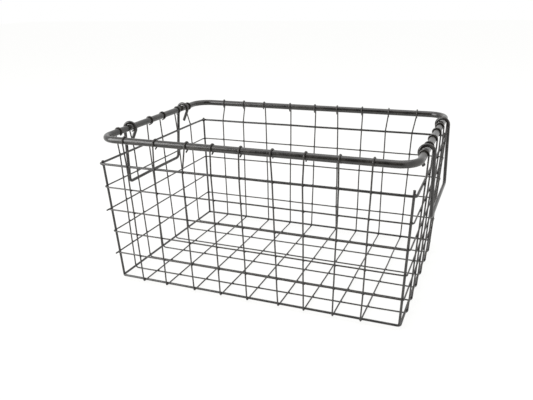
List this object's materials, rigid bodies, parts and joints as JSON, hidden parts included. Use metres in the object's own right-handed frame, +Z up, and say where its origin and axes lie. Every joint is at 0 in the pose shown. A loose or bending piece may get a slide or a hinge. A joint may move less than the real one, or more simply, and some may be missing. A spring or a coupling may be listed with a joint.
{
  "type": "wire locker basket",
  "caption": "Open wire basket with tapered mesh walls, a thick raised rim rod, corner posts, and a swinging bail handle hooked over each short end",
  "frame": {"origin": "centre of the basket's footprint on the surface it stands on, the underside of the lowest floor wires", "axes": "+X along the basket's length from the left handle to the right handle, +Y from the front wall to the back wall, +Z up"},
  "size_m": [0.3948, 0.2662, 0.1936],
  "materials": {
    "rim_rod": "satin black lacquer on steel rod",
    "frame_wire": "satin black lacquer on steel wire",
    "mesh_wire": "satin black lacquer on steel wire, worn thin",
    "handle_wire": "satin black lacquer on steel wire"
  },
  "bodies": {
    "basket": {"rim": "rim_rod", "top_ring": "frame_wire", "side_ring_1": "mesh_wire", "side_ring_2": "mesh_wire", "side_ring_3": "mesh_wire", "side_ring_4": "mesh_wire", "bottom_frame": "frame_wire", "post_front_left": "frame_wire", "post_front_right": "frame_wire", "post_back_left": "frame_wire", "post_back_right": "frame_wire", "cross_wire_1": "mesh_wire", "cross_wire_2": "mesh_wire", "cross_wire_3": "mesh_wire", "cross_wire_4": "mesh_wire", "cross_wire_5": "mesh_wire", "cross_wire_6": "mesh_wire", "cross_wire_7": "mesh_wire", "cross_wire_8": "mesh_wire", "cross_wire_9": "mesh_wire", "long_wire_1": "mesh_wire", "long_wire_2": "mesh_wire", "long_wire_3": "mesh_wire", "long_wire_4": "mesh_wire", "long_wire_5": "mesh_wire", "long_wire_6": "mesh_wire"},
    "left_bail": {"left_handle": "handle_wire"},
    "right_bail": {"right_handle": "handle_wire"}
  },
  "joints": [
    {"name": "left_handle_swing", "type": "hinge", "parent": "basket", "child": "left_bail", "pos_m": [-0.18675, 0, 0.1848], "axis": [0, 1, 0], "range_deg": [-6, 333]},
    {"name": "right_handle_swing", "type": "hinge", "parent": "basket", "child": "right_bail", "pos_m": [0.18375, 0, 0.1848], "axis": [0, -1, 0], "range_deg": [-4, 335]}
  ]
}
